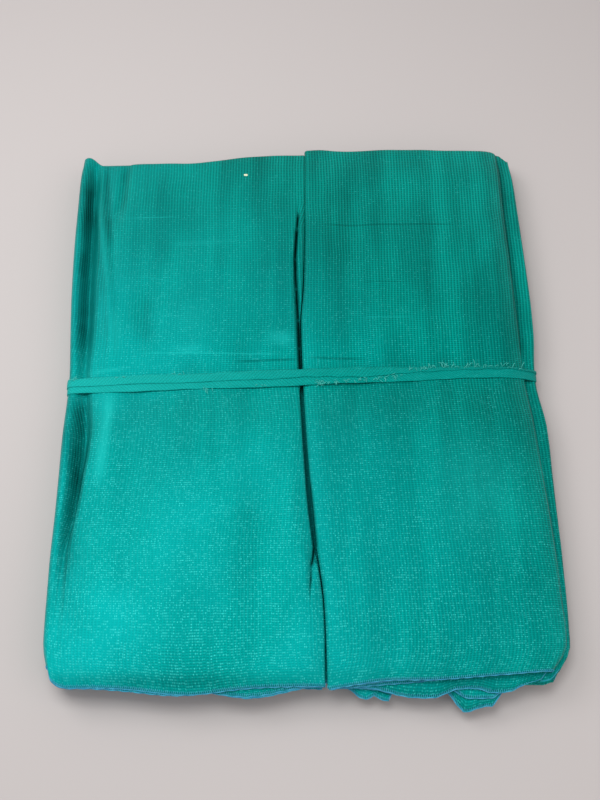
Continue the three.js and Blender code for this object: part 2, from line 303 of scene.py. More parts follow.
def rollPoints(wall):
    floorRound, rimRound = net["floorRound"], net["rimRound"]
    count = foldSteps["corner"]
    low, high = levelHeight(0) + floorRound, levelHeight(net["topLevel"]) - rimRound
    points = []
    for i in range(1, count + 1):
        turn = -math.pi / 2 - i / count * math.pi / 2
        points.append((wall + floorRound * (1 + math.cos(turn)), low + floorRound * math.sin(turn)))
    for i in range(count):
        turn = math.pi - i / count * math.pi / 2
        points.append((wall + rimRound * (1 + math.cos(turn)), high + rimRound * math.sin(turn)))
    return [(x, z, (i + 1) / (len(points) + 1)) for i, (x, z) in enumerate(points)]


def foldLine(section):
    # The folded net's middle line in one section: rows of x, z, front end, back end, run
    wall = section["left"] + net["thick"] / 2
    rows = []
    start = section["slitRight"] + net["hiddenEnd"]
    afterRoll = False
    for index, run in enumerate(runs):
        following = runs[index + 1] if index + 1 < len(runs) else None
        side = edgeSide[run["to"]]
        rolls = run["level"] == 0
        levels = abs(following["level"] - run["level"]) if following else 0
        reach = net["floorRound"] if rolls else levels * net["pitch"] / 2
        stop = section[run["to"]] - side * (reach + net["thick"] / 2 + run["tuck"])
        z = levelHeight(run["level"])
        low, span = min(start, stop), abs(stop - start)

        flatStart = start
        if afterRoll:  # the sag beside the rim, steeper on the side of the stack
            flatStart = section["stack"]
            for share in np.linspace(0, 1, foldSteps["valley"], endpoint=False):
                x = start + (flatStart - start) * share
                deepest = np.interp(section["y"], (-30, 60), net["valleyAt"])
                away = share / deepest if share < deepest else (1 - share) / (1 - deepest)
                sag = section["valley"] * math.sin(math.pi / 2 * away) ** 2
                rows.append([x, z - sag, *endsAt(index, (x - low) / span), index])

        places = flatStart + (stop - flatStart) * spread(bendSteps[run["bends"]])
        rows.extend([x, z, *endsAt(index, (x - low) / span), index] for x in places)

        if following:
            edge = 1 if side > 0 else 0
            here, there = endsAt(index, edge), endsAt(index + 1, edge)
            turn = rollPoints(wall) if rolls else foldPoints(stop, run["level"], following["level"], side)
            group = index + 1 if rolls else index
            for x, h, share in turn:
                ends = here + (there - here) * share
                if rolls:  # the front and back corners of the rim draw back
                    near = ease(1.4 * math.sin(math.pi * share))
                    ends = ends + np.array([corner["front"], -corner["back"] * 0.1]) * near * 0.8
                rows.append([x, h, *ends, group])
        start = wall + net["rimRound"] if rolls else stop
        afterRoll = rolls
    return np.array(rows)


def lineBump(x, y, wide, rise, points):
    # A ridge or trough along a line through points, which fades out at its two ends
    away = np.full(x.shape, 1e9)
    gone = np.zeros_like(x)
    lengths = [math.dist(a, b) for a, b in zip(points, points[1:])]
    before = 0
    for (ax, ay), (bx, by), length in zip(points, points[1:], lengths):
        t = np.clip(((x - ax) * (bx - ax) + (y - ay) * (by - ay)) / length ** 2, 0, 1)
        d = np.hypot(x - ax - t * (bx - ax), y - ay - t * (by - ay))
        gone = np.where(d < away, (before + t * length) / sum(lengths), gone)
        away = np.minimum(away, d)
        before += length
    return rise * bump(away, wide) * ease(gone / 0.2) * ease((1 - gone) / 0.2)


def crackDepth(x, y):
    total = np.zeros_like(x)
    for rows in crackRows:
        wide, depth, middle, ys = np.array(sorted(rows, key=lambda row: row[3])).T
        w, m = np.interp(y, ys, wide), np.interp(y, ys, middle)
        d = np.interp(y, ys, depth, left=0, right=0)
        total += d * np.exp(-((x - m) / w) ** 4)
    return total


def reliefAt(x, y):
    total = np.zeros_like(x)
    share = np.clip((net["back"] - y) / (net["back"] - net["front"]), 0, 1)
    for r in reliefs:
        middle = columnAt(r["edge"], y) + r["offBack"] + (r["offFront"] - r["offBack"]) * share
        inside = ease((y - r["yFrom"]) / r["fade"]) * ease((r["yTo"] - y) / r["fade"])
        total += r["rise"] * bump(x - middle, r["wide"]) * inside
    for wide, rise, points in creaseLines.values():
        total += lineBump(x, y, wide, rise, points)
    # Slight waves across the top, fine and broad
    total += 0.25 * np.sin(x / 6.1 + 0.9 * np.sin(y / 70)) * (0.6 + 0.4 * np.sin(y / 47 + 1))
    total += 0.35 * np.sin(x / 13.7 + 2 + 0.7 * np.sin(y / 110 + 2))
    total -= frontSlope["drop"] * ease((frontSlope["from"] - y) / frontSlope["reach"])
    return total


def settle(x, z, front, back, y):
    # Points of the section at y in their final place, in metres
    toFront, toBack = (np.clip((y - net[part]) / (net[end] - net[part]), 0, 1)
                       for part, end in (("frontPart", "front"), ("backPart", "back")))
    level = y + toFront * (front - net["front"]) + toBack * (back - net["back"])
    placeY = level + columnAt("tilt", y) * x
    share = z / pileHeight
    hang = droop["rate"] * np.maximum(0, droop["from"] - placeY) ** 2
    rise = (reliefAt(x, placeY) - crackDepth(x, placeY)) * share ** reliefPower - hang * share
    lift, top = columnAt("lift", level), pileHeight * columnAt("squeeze", level)
    placeZ = lift + (top - lift) * share + rise
    return np.stack([x + shift[0], placeY + shift[1], placeZ], axis=-1) * mm


def addObject(name, data):
    thing = bpy.data.objects.new(name, data)
    bpy.context.scene.collection.objects.link(thing)
    return thing


def clothGrid(name, places, flat):
    # A grid of quads whose vertices are moved to places, with flat as its UV map in metres
    across, along = places.shape[:2]
    bm = bmesh.new()
    bmesh.ops.create_grid(bm, x_segments=across - 1, y_segments=along - 1, size=0.5)
    uvLayer = bm.loops.layers.uv.new("flat")
    cell = [(round((v.co.x + 0.5) * (across - 1)), round((v.co.y + 0.5) * (along - 1))) for v in bm.verts]
    bm.verts.index_update()
    for face in bm.faces:
        face.smooth = True
        for loop in face.loops:
            loop[uvLayer].uv = flat[cell[loop.vert.index]]
    for v, at in zip(bm.verts, cell):
        v.co = places[at]
    mesh = bpy.data.meshes.new(name)
    bm.to_mesh(mesh)
    bm.free()
    return addObject(name, mesh)


def solidify(piece, thick):
    # The sheet gets its real thickness, half to each side
    shell = piece.modifiers.new("thickness", "SOLIDIFY")
    shell.thickness = thick
    shell.offset = 0
    shell.use_even_offset = False


# Rows of vertices along the bundle, closer at its ends, its tie and the crack: up to, steps
upperRows = [(-254, 6), (-200, 5), (-178, 3), (-130, 6), (-28, 5), (-10, 2), (60, 7), (110, 5), (190, 6),
             (225, 4), (250, 2), (288, 5)]
underRows = [(-250, 3), (-200, 2), (-130, 4), (-28, 4), (-10, 1), (60, 4), (110, 2), (225, 3), (250, 1),
             (288, 3)]


def foldedNet():
    # Both plies of the doubled net, from one hem over the fold at the back to the other hem
    plies, lines = {}, {}
    for side, stops in ((1, upperRows), (-1, underRows)):
        rows = []
        ys = spread(stops, net["front"])
        sections = [foldLine(sectionAt(y)) for y in ys]
        for y, line in zip(ys, sections):
            x, z, front, back, run = line.T
            dx, dz = np.gradient(x), np.gradient(z)
            length = np.hypot(dx, dz)
            swell = ease((y - net["back"] + net["bulgeReach"]) / net["bulgeReach"])
            offset = side * (net["plyOffset"] + (net["foldBulge"] - net["plyOffset"]) * swell)
            slip = 0
            if side < 0:  # the under ply ends a little further out or in, all along
                at = np.cumsum(length)
                slip = 1.3 * np.sin(at / 61) + 0.9 * np.sin(at / 23 + 1)
            rows.append(settle(x - offset * dz / length, z + offset * dx / length, front + slip, back, y))
        plies[side] = np.stack(rows, axis=1)
        lines[side] = sections
    # The loop at the back, half a turn from the upper ply to the under ply
    upper, under = plies[1][:, -1], plies[-1][:, -1]
    middle, radius = (upper + under) / 2, (upper - under) / 2
    reach = np.linalg.norm(radius, axis=1, keepdims=True)
    outward = np.array([0, 1, 0])
    turns = np.linspace(0, math.pi, 5)[1:-1]
    loop = [middle + radius * math.cos(t) + outward * reach * math.sin(t) for t in turns]
    places = np.concatenate([plies[1], np.stack(loop, axis=1), plies[-1][:, ::-1]], axis=1)
    # The flat cloth's own measures. Along the folds each run is measured from its middle,
    # so that the knit's lines keep their spacing where the bundle grows wider.
    steps = np.linalg.norm(np.diff(places[:, :, [0, 2]], axis=0), axis=2)
    along = np.vstack([np.zeros(places.shape[1]), np.cumsum(steps, axis=0)])
    group = lines[1][0][:, 4].astype(int)
    anchors = np.array([int(np.median(np.flatnonzero(group == g))) for g in range(len(runs))])[group]
    alongCloth = along.mean(axis=1)[anchors][:, None] + along - along[anchors]
    steps = np.linalg.norm(np.diff(places, axis=1), axis=2).mean(axis=0)
    acrossCloth = np.concatenate([[0], np.cumsum(steps)])
    flat = np.stack([alongCloth, np.broadcast_to(acrossCloth, alongCloth.shape)], axis=-1)
    return places, flat


netPlaces, netFlat = foldedNet()
netCloth = clothGrid("netCloth", netPlaces, netFlat)
solidify(netCloth, net["plyThick"] * mm)

# The tie, a strip of net folded in three and pulled round the bundle
tie = {
    "plyPitch": 0.62,
    "plyThick": 0.4,
    "y": 25,
    "tilt": 0.035,
    "clear": 0.6,
    "step": 2.5,
    "near": 14,  # the tie lies on what is nearer than this to its middle
}
# Along the tie from left to right: its two edges, and the free edge of its upper ply
tieNames = ["x", "lower", "upper", "free"]
tieRows = np.array([
    [-236, -8.2, 7.2, -1.6],
    [-160, -8.4, 7.6, -1.4],
    [-60, -8.0, 8.6, -0.8],
    [0, -7.6, 9.4, 0.6],
    [60, -6.8, 8.8, -1.0],
    [110, -6.2, 7.6, 1.6],
    [150, -5.6, 6.4, 3.6],
    [236, -5.4, 5.2, 2.8],
])


def tightOutline():
    # The tight outline of the bundle where the tie lies, in millimetres, turning left
    points = netPlaces.reshape(-1, 3) / mm
    middle = tie["y"] + tie["tilt"] * (points[:, 0] - shift[0]) + shift[1]
    points = points[np.abs(points[:, 1] - middle) < tie["near"]][:, [0, 2]]
    points = points[np.lexsort((points[:, 1], points[:, 0]))].tolist()
    outline = []
    for run in (points, points[::-1]):
        kept = []
        for p in run:
            while len(kept) > 1:
                a, b = kept[-2:]
                if (b[0] - a[0]) * (p[1] - a[1]) - (b[1] - a[1]) * (p[0] - a[0]) > 0:
                    break
                kept.pop()
            kept.append(p)
        outline += kept[:-1]
    return np.array(outline)


def evenRing(outline, step):
    # The closed outline again, in even steps
    ring = np.vstack([outline, outline[:1]])
    at = lengthAlong(ring)
    even = np.linspace(0, at[-1], int(at[-1] / step), endpoint=False)
    return np.stack([np.interp(even, at, ring[:, k]) for k in (0, 1)], axis=1)


def foldedStrip():
    outline = evenRing(tightOutline(), tie["step"])
    start = int(np.argmin(np.abs(outline[:, 0]) + outline[:, 1]))  # under the middle
    outline = np.roll(outline, -start, axis=0)
    along = np.roll(outline, -1, axis=0) - np.roll(outline, 1, axis=0)
    along /= np.linalg.norm(along, axis=1, keepdims=True)
    count = len(outline)
    pitch = tie["plyPitch"]
    rows = []
    for k in range(count + 1):
        (x, z), (tx, tz) = outline[k % count], along[k % count]
        turn = 2 * math.pi * k / count
        lower, upper, free = (np.interp(x, tieRows[:, 0], tieRows[:, c]) for c in (1, 2, 3))
        lower += 0.4 * math.sin(7 * turn) + 0.15 * math.sin(31 * turn)
        upper += 0.35 * math.sin(9 * turn + 2) + 0.2 * math.sin(37 * turn)
        free += 0.4 * math.sin(11 * turn) + 0.35 * math.sin(43 * turn) * (1 if x > 0 else 0.3)
        ripple = 0.12 * math.sin(17 * turn)
        # Across the strip: lower ply, fold at the lower edge, middle ply, fold, upper ply
        profile = [(upper - 1.0 + (lower - upper + 1.6) * t, 0) for t in (0, 0.25, 0.5, 0.75, 1)]
        profile += [(lower, 0.25 * pitch), (lower - 0.1, 0.5 * pitch), (lower, 0.75 * pitch)]
        profile += [(lower + 0.6 + (upper - lower - 1.2) * t, (1 + ripple * math.sin(6 * t)) * pitch)
                    for t in (0, 0.15, 0.3, 0.45, 0.6, 0.8, 1)]
        profile += [(upper, 1.25 * pitch), (upper + 0.1, 1.5 * pitch), (upper, 1.75 * pitch)]
        profile += [(upper - 0.6 + (free - upper + 0.6) * t, (2 + 0.3 * math.sin(3 * t) + ripple) * pitch)
                    for t in (0, 0.3, 0.6, 0.9, 1)]
        row = []
        for across, out in profile:
            reach = tie["clear"] + out
            y = tie["y"] + tie["tilt"] * (x - shift[0]) + shift[1] + across
            row.append(((x + tz * reach) * mm, y * mm, (z - tx * reach) * mm))
        rows.append(row)
    places = np.array(rows).transpose(1, 0, 2)
    acrossSteps = np.linalg.norm(np.diff(places, axis=0), axis=2).mean(axis=1)
    alongSteps = np.linalg.norm(np.diff(places, axis=1), axis=2).mean(axis=0)
    u, v = (np.concatenate([[0], np.cumsum(s)]) for s in (acrossSteps, alongSteps))
    flat = np.stack(np.meshgrid(u, v, indexing="ij"), axis=-1)
    return places, flat


stripPlaces, stripFlat = foldedStrip()
tieCloth = clothGrid("tieCloth", stripPlaces, stripFlat)
solidify(tieCloth, tie["plyThick"] * mm)


def threads(paths, radius, name):
    # Thin threads along paths, joined in one piece
    curve = bpy.data.curves.new(name, "CURVE")
    curve.dimensions = "3D"
    curve.bevel_depth = radius
    curve.bevel_resolution = 0
    curve.use_fill_caps = True
    for path in paths:
        spline = curve.splines.new("POLY")
        spline.points.add(len(path) - 1)
        spline.points.foreach_set("co", np.column_stack([path, np.ones(len(path))]).ravel())
    source = bpy.data.objects.new(name + "Curve", curve)
    mesh = bpy.data.meshes.new_from_object(source)
    mesh.name = name
    bpy.data.objects.remove(source)
    return addObject(name, mesh)


# The overlock thread round each hem: a loose spiral, over a chain that lies along the edge
hem = {"stitch": 1.7, "points": 5, "reach": 1.7, "height": 0.6, "thread": 0.28, "chain": 0.55,
       "chainStep": 2.8, "sway": 0.25}
# At the front right corner the hems are tucked in
hemTuck = {"from": 188, "over": 10, "below": 31, "depth": 3}


def hemPath(edge, inside, first, last, step):
    # The hem's edge in even steps, with its directions into the cloth and out of its face
    inward = inside - edge
    inward /= np.linalg.norm(inward, axis=1, keepdims=True)
    along = np.gradient(edge, axis=0)
    along /= np.linalg.norm(along, axis=1, keepdims=True) + 1e-12
    normal = np.cross(along, inward)
    at = lengthAlong(edge)
    even = np.arange(at[first], at[last], step * mm)
    parts = [np.stack([np.interp(even, at, part[:, k]) for k in range(3)], axis=1)
             for part in (edge, inward, normal)]
    # Where a hem is tucked in, its thread runs between the plies
    place = parts[0] / mm
    tucked = ease((place[:, 0] - hemTuck["from"]) / hemTuck["over"]) * (place[:, 2] < hemTuck["below"])
    parts[0] = parts[0] + parts[1] * (tucked * hemTuck["depth"] * mm)[:, None]
    return even, 1 - tucked, *parts


def overlock(edge, inside, first, last):
    even, free, middle, inward, normal = hemPath(edge, inside, first, last, hem["stitch"] / hem["points"])
    turn = 2 * math.pi * np.arange(len(even)) / hem["points"]
    slack = 1 + 0.2 * np.sin(even * 900) + 0.15 * np.sin(even * 2311)
    across = hem["reach"] * mm * (0.7 + np.cos(turn) * slack) * free
    return middle + inward * across[:, None] + normal * (hem["height"] * mm * np.sin(turn) * free)[:, None]


def chainLine(edge, inside, first, last):
    even, free, middle, inward, normal = hemPath(edge, inside, first, last, hem["chainStep"])
    sway = hem["sway"] * mm * np.sin(even * 1700) * free
    return middle - inward * (0.15 * mm + sway)[:, None] + normal * sway[:, None]


halfWay = netPlaces.shape[0] // 2
hemEdges = [(netPlaces[:, 0], netPlaces[:, 2]), (netPlaces[:, -1], netPlaces[:, -3])]
hemThreads = []
for name, first, last in (("hemThreadRight", 0, halfWay), ("hemThreadLeft", halfWay, netPlaces.shape[0] - 1)):
    paths = [overlock(edge, inside, first, last) for edge, inside in hemEdges]
    hemThreads.append(threads(paths, hem["thread"] * mm, name))
paths = [chainLine(edge, inside, 0, netPlaces.shape[0] - 1) for edge, inside in hemEdges]
hemThreads.append(threads(paths, hem["chain"] * mm, "hemChain"))
print("hem threads:", [len(piece.data.polygons) for piece in hemThreads])

# Torn tapes of net along the tie: place, how many, how long, and how high they stand
fray = {"thread": 0.22, "spread": 7, "near": 4, "steps": 6}
frayNames = ["x", "off", "count", "length", "rise"]
frayRows = [
    [142, 6, 10, 6, 2.4], [161, 5, 5, 8, 2.5], [191, 5, 4, 6, 2.0], [209, 3, 4, 6, 2.2], [123, 5, 8, 5, 1.8],
    [91, 0, 6, 5, 1.4], [76, -2, 7, 5, 1.2], [68, -3, 6, 4, 1.2], [19, -4, 8, 4, 1.2], [11, -6, 8, 5, 1.8],
    [36, -4, 6, 4, 1.2], [-92, -7, 5, 6, 1.8], [-215, 5, 4, 5, 1.4], [-177, 6, 3, 4, 1.0],
    [-120, 7, 4, 4, 1.0], [176, 5, 5, 4, 1.4], [108, 4, 6, 4, 1.4], [55, -3, 6, 4, 1.2], [-40, -6, 3, 4, 1.0],
    [28, -5, 5, 4, 1.2],
]


def frays():
    strip = stripPlaces.reshape(-1, 3) / mm
    paths = []
    for spot in named(frayNames, frayRows):
        for _ in range(spot["count"]):
            x = spot["x"] + random.uniform(-fray["spread"], fray["spread"])
            height = strip[np.abs(strip[:, 0] - x) < fray["near"]][:, 2].max()
            y = tie["y"] + tie["tilt"] * x + shift[1] + spot["off"] + random.uniform(-1, 1)
            heading = random.uniform(0.15, 2.9) * (1 if spot["off"] > 0 else -1)
            bend = random.uniform(-1.6, 1.6)
            length = spot["length"] * random.uniform(0.6, 1.25)
            path = []
            for t in np.linspace(0, 1, fray["steps"]):
                angle = heading + bend * t
                x += math.cos(angle) * length / fray["steps"]
                y += math.sin(angle) * length / fray["steps"]
                lift = spot["rise"] * math.sin(math.pi * min(t * 0.8, 1)) * random.uniform(0.9, 1.1)
                path.append(((x + shift[0]) * mm, y * mm, (height + 0.1 + lift) * mm))
            paths.append(path)
    return paths


fraysPiece = threads(frays(), fray["thread"] * mm, "tieFrays")
print("frays:", len(fraysPiece.data.polygons))


# Shader helpers
def newNode(tree, kind):
    return tree.nodes.new("ShaderNode" + kind)


def newMaterial(name):
    material = bpy.data.materials.new(name)
    material.use_nodes = True
    tree = material.node_tree
    tree.nodes.clear()
    output = newNode(tree, "OutputMaterial")
    shader = newNode(tree, "BsdfPrincipled")
    tree.links.new(shader.outputs["BSDF"], output.inputs["Surface"])
    return material, tree, shader


def calc(tree, operation, *values, clamp=False):
    node = newNode(tree, "Math")
    node.operation = operation
    node.use_clamp = clamp
    for socket, value in zip(node.inputs, values):
        if isinstance(value, (int, float)):
            socket.default_value = value
        else:
            tree.links.new(value, socket)
    return node.outputs[0]


def times(tree, a, b):
    return calc(tree, "MULTIPLY", a, b)


def wave(tree, value):
    # 1 at whole numbers and 0 half-way between them
    cosine = calc(tree, "COSINE", times(tree, value, 2 * math.pi))
    return calc(tree, "MULTIPLY_ADD", cosine, 0.5, 0.5)


def smoothStep(tree, value, low, high, toLow=0.0, toHigh=1.0):
    node = newNode(tree, "MapRange")
    node.interpolation_type = "SMOOTHSTEP"
    for name, number in (("From Min", low), ("From Max", high), ("To Min", toLow), ("To Max", toHigh)):
        node.inputs[name].default_value = number
    tree.links.new(value, node.inputs["Value"])
    return node.outputs["Result"]


def mixColour(tree, factor, a, b, blend="MIX"):
    node = newNode(tree, "Mix")
    node.data_type = "RGBA"
    node.blend_type = blend
    for socket, value in ((node.inputs["Factor"], factor), (node.inputs[6], a), (node.inputs[7], b)):
        if isinstance(value, (int, float)):
            socket.default_value = value
        elif isinstance(value, tuple):
            socket.default_value = (*value, 1)
        else:
            tree.links.new(value, socket)
    return node.outputs[2]


def noise(tree, vector, scale, detail=2.0, stretch=None):
    if stretch:
        mapping = newNode(tree, "Mapping")
        mapping.inputs["Scale"].default_value = stretch
        tree.links.new(vector, mapping.inputs["Vector"])
        vector = mapping.outputs["Vector"]
    node = newNode(tree, "TexNoise")
    node.inputs["Scale"].default_value = scale
    node.inputs["Detail"].default_value = detail
    tree.links.new(vector, node.inputs["Vector"])
    return node.outputs["Fac"]


def separate(tree, vector):
    node = newNode(tree, "SeparateXYZ")
    tree.links.new(vector, node.inputs[0])
    return node.outputs


def linear(red, green, blue):
    # A colour given as 0-255 display values, made scene linear
    shares = (value / 255 for value in (red, green, blue))
    return tuple(s / 12.92 if s <= 0.04045 else ((s + 0.055) / 1.055) ** 2.4 for s in shares)


# The knit's two pitches, and the range of chance over which its painted glints come up
knit = {"wale": 3.0, "weft": 2.13, "dots": (0.95, 1.7), "dashes": (1.1, 1.9)}


def newGroup(name, inputs, outputs):
    tree = bpy.data.node_groups.new(name, "ShaderNodeTree")
    for socketName, kind, value in inputs:
        socket = tree.interface.new_socket(socketName, in_out="INPUT", socket_type="NodeSocket" + kind)
        if value is not None:
            socket.default_value = value
    for socketName in outputs:
        tree.interface.new_socket(socketName, in_out="OUTPUT", socket_type="NodeSocketFloat")
    return tree, tree.nodes.new("NodeGroupInput").outputs, tree.nodes.new("NodeGroupOutput").inputs


def knitGroup():
    # Raschel knit: chain-stitched pillars along the net, flat tapes laid in between them
    tree, inputs, outputs = newGroup("knitNet", [
        ("Cloth", "Vector", None), ("Wale", "Float", knit["wale"] * mm), ("Weft", "Float", knit["weft"] * mm),
        ("Sparkle", "Float", 0.5)], ["Height", "Glint", "Pillar", "Tape", "Lane"])
    cloth = separate(tree, inputs["Cloth"])
    # The knit isn't quite even: its lines wander a little
    drift = times(tree, calc(tree, "SUBTRACT", noise(tree, inputs["Cloth"], 22), 0.5), 0.9)
    column = calc(tree, "ADD", calc(tree, "DIVIDE", cloth[0], inputs["Wale"]), drift)
    course = calc(tree, "ADD", calc(tree, "DIVIDE", cloth[1], inputs["Weft"]), drift)
    # Each tape sits a little higher or lower in its own column
    offset = newNode(tree, "TexWhiteNoise")
    offset.noise_dimensions = "1D"
    tree.links.new(calc(tree, "FLOOR", column), offset.inputs["W"])
    slanted = calc(tree, "ADD", course, times(tree, offset.outputs["Value"], 0.3))
    pillar = calc(tree, "POWER", wave(tree, column), 1.3)
    loops = calc(tree, "MULTIPLY_ADD", wave(tree, course), 0.35, 0.65)
    tape = wave(tree, slanted)
    pillarHigh = times(tree, pillar, loops)
    tapeHigh = times(tree, calc(tree, "POWER", tape, 1.2), 0.6)
    tree.links.new(calc(tree, "MAXIMUM", pillarHigh, tapeHigh), outputs["Height"])
    tree.links.new(pillarHigh, outputs["Pillar"])
    tree.links.new(tape, outputs["Tape"])
    tree.links.new(offset.outputs["Value"], outputs["Lane"])
    # Glints, later painted into the colour as highlights: here and there a loop, or a tape between two
    # pillars, turns its flat side to the light
    patches = times(tree, noise(tree, inputs["Cloth"], 60, 3), 0.35)
    likely = calc(tree, "MULTIPLY_ADD", inputs["Sparkle"], 0.3, patches)
    course = calc(tree, "ROUND", slanted)
    short = calc(tree, "POWER", tape, 1.6)

    def glints(place, low, high):
        cell = newNode(tree, "CombineXYZ")
        tree.links.new(calc(tree, "ROUND", place), cell.inputs[0])
        tree.links.new(course, cell.inputs[1])
        chance = newNode(tree, "TexWhiteNoise")
        chance.noise_dimensions = "2D"
        tree.links.new(cell.outputs[0], chance.inputs["Vector"])
        bright = smoothStep(tree, calc(tree, "ADD", chance.outputs["Value"], likely), low, high)
        return times(tree, bright, times(tree, wave(tree, place), short))

    dots = glints(times(tree, column, 2.0), *knit["dots"])
    dashes = glints(calc(tree, "ADD", column, 0.5), *knit["dashes"])
    tree.links.new(calc(tree, "MAXIMUM", dots, dashes), outputs["Glint"])
    return tree


def lineGroup():
    # A soft line between two places on the top of the bundle, fading out at both ends
    tree, inputs, outputs = newGroup("softLine", [
        ("Place", "Vector", None), ("From", "Vector", None), ("To", "Vector", None), ("Wide", "Float", 0.001),
        ("Fade", "Float", 0.01)], ["Mask"])

    def vectorMath(operation, a, b):
        node = newNode(tree, "VectorMath")
        node.operation = operation
        tree.links.new(a, node.inputs[0])
        tree.links.new(b, node.inputs[1])
        return node

    place = newNode(tree, "CombineXYZ")
    parts = separate(tree, inputs["Place"])
    tree.links.new(parts[0], place.inputs[0])
    tree.links.new(parts[1], place.inputs[1])
    span = vectorMath("SUBTRACT", inputs["To"], inputs["From"]).outputs["Vector"]
    length = calc(tree, "SQRT", vectorMath("DOT_PRODUCT", span, span).outputs["Value"])
    offset = vectorMath("SUBTRACT", place.outputs[0], inputs["From"]).outputs["Vector"]
    t = calc(tree, "DIVIDE", vectorMath("DOT_PRODUCT", offset, span).outputs["Value"], length)
    square = vectorMath("DOT_PRODUCT", offset, offset).outputs["Value"]
    square = calc(tree, "SUBTRACT", square, times(tree, t, t))
    away = calc(tree, "SQRT", calc(tree, "MAXIMUM", square, 0.0))
    line = calc(tree, "SUBTRACT", 1.0, calc(tree, "DIVIDE", away, inputs["Wide"]), clamp=True)
    starts = calc(tree, "DIVIDE", t, inputs["Fade"], clamp=True)
    ends = calc(tree, "DIVIDE", calc(tree, "SUBTRACT", length, t), inputs["Fade"], clamp=True)
    mask = times(tree, smoothStep(tree, line, 0, 1), times(tree, starts, ends))
    tree.links.new(times(tree, mask, smoothStep(tree, parts[2], 0.016, 0.022)), outputs["Mask"])
    return tree


knitNode = knitGroup()
lineNode = lineGroup()


def useGroup(tree, group, **values):
    node = newNode(tree, "Group")
    node.node_tree = group
    for name, value in values.items():
        if hasattr(value, "links"):
            tree.links.new(value, node.inputs[name])
        else:
            node.inputs[name].default_value = value
    return node


def objectCoordinates(tree):
    return newNode(tree, "TexCoord").outputs["Object"]


def clothCoordinates(tree):
    node = newNode(tree, "UVMap")
    node.uv_map = "flat"
    return node.outputs["UV"]


def addBump(tree, height, distance, strength, before=None):
    node = newNode(tree, "Bump")
    node.inputs["Distance"].default_value = distance * mm
    node.inputs["Strength"].default_value = strength
    tree.links.new(height, node.inputs["Height"])
    if before:
        tree.links.new(before, node.inputs["Normal"])
    return node.outputs["Normal"]


# Painted shade and painted highlights along old fold lines of the top: from, to, half width, fade, and how
# much darker or lighter they are
lineNames = ["from", "to", "wide", "fade", "tone"]
paintedFoldLineRows = [
    [(20, 199), (158, 199), 1.1, 14, -0.45],
    [(58, 131), (106, 131), 1.0, 10, -0.25],
    [(55, 91), (113, 91), 1.0, 12, 0.2],
    [(-188, 206), (-127, 208), 1.0, 16, 0.3],
    [(-142, 174), (-65, 178), 5, 20, 0.12],
    [(-170, 52), (-13, 51), 1.3, 25, 0.3],
    [(-71, 43), (1, 46), 2.2, 16, -0.4],
    [(0, 47), (66, 47), 2.2, 20, -0.35],
    [(-214, 30), (-170, 36), 3.5, 12, 0.25],
    [(-170, 138), (-120, 128), 1.0, 12, 0.15],
]
# Painted shade where hardly any light gets: the slit and its crack, the folds beside the rim and the packet's
# edge.
# Then painted shade along the front edge, and broad patches of painted shade and painted light.
paintedShadeAndLightRows = [
    [(-4.6, 216), (-6.3, 192), 2.2, 8, -1],
    [(-6.2, 196), (-8.3, 158), 2.8, 4, -1],
    [(-8.3, 162), (-6.9, 122), 3.0, 4, -1],
    [(-7.0, 126), (-4.7, 88), 3.2, 4, -1],
    [(-4.8, 92), (-3.8, 58), 3.2, 4, -1],
    [(-3.8, 62), (-2.5, 26), 3.0, 4, -1],
    [(-1.8, 18), (0.6, -34), 3.4, 4, -1],
    [(0.5, -30), (4.4, -84), 3.4, 4, -1],
    [(4.2, -80), (8.4, -122), 4.4, 4, -1],
    [(8.2, -118), (10.4, -146), 3.8, 4, -1],
    [(10.2, -142), (7.0, -164), 2.6, 4, -1],
    [(7.4, -158), (5.7, -192), 1.6, 16, -0.9],
    [(11.0, -144), (17.4, -190), 1.4, 10, -0.6],
    [(-225, 284), (-225, 170), 13, 40, -0.8],
    [(-226, 206), (-223, 100), 12, 40, -0.6],
    [(-223, 138), (-218, 36), 13, 40, -0.6],
    [(-216, 262), (-208, 32), 24, 50, -0.4],
    [(-215, 18), (-213, -76), 19, 24, -0.7],
    [(-211, -40), (-211, -122), 12, 34, -0.8],
    [(-212, -92), (-216, -204), 14, 50, -0.4],
    [(-222, -264), (16, -267), 10, 14, -0.3],
    [(-210, 284), (-204, 210), 6, 20, -0.5],
    [(-204, 222), (-195, 165), 5, 20, -0.45],
    [(-187, 288), (-190, 210), 9, 24, -0.45],
    [(-217, 246), (-195, 120), 6, 30, 0.25],
    [(209, 292), (212, 190), 9, 14, -0.5],
    [(212, 205), (217, 50), 9, 14, -0.5],
    [(38, 280), (42, 130), 24, 30, -0.2],
    [(165, -10), (168, -170), 80, 60, 0.2],
    [(72, -120), (78, -262), 60, 50, -0.12],
    [(-150, 270), (-150, 150), 60, 40, -0.1],
    [(-163, 132), (-156, 46), 18, 26, -0.3],
    [(-188, 104), (-182, 38), 9, 20, 0.3],
    [(-186, 14), (-190, -90), 9, 20, 0.55],
    [(-120, 110), (-100, 60), 20, 24, 0.15],
    [(-40, 70), (-6, 66), 13, 12, 0.35],
    [(-134, 54), (-90, 57), 9, 16, 0.3],
]
# Colours of the knit and of the fleck, and painted colours: a dark painted shade, a painted light, a painted
# sheen for the front left and painted glints
netColours = {
    "deep": linear(0, 93, 83),
    "base": linear(0, 141, 128),
    "pillar": linear(2, 160, 146),
    "paintedSheen": linear(8, 160, 158),
    "paintedShading": linear(0, 26, 23),
    "lit": linear(30, 176, 170),
    "paintedGlint": linear(74, 220, 214),
    "fleck": linear(226, 224, 190),
}
netGloss = 0.6
wideShade = 4.5  # the knit and the cloth's unevenness show through shade wider than this

netMaterial, tree, shader = newMaterial("netKnit")
coords = objectCoordinates(tree)
place = separate(tree, coords)
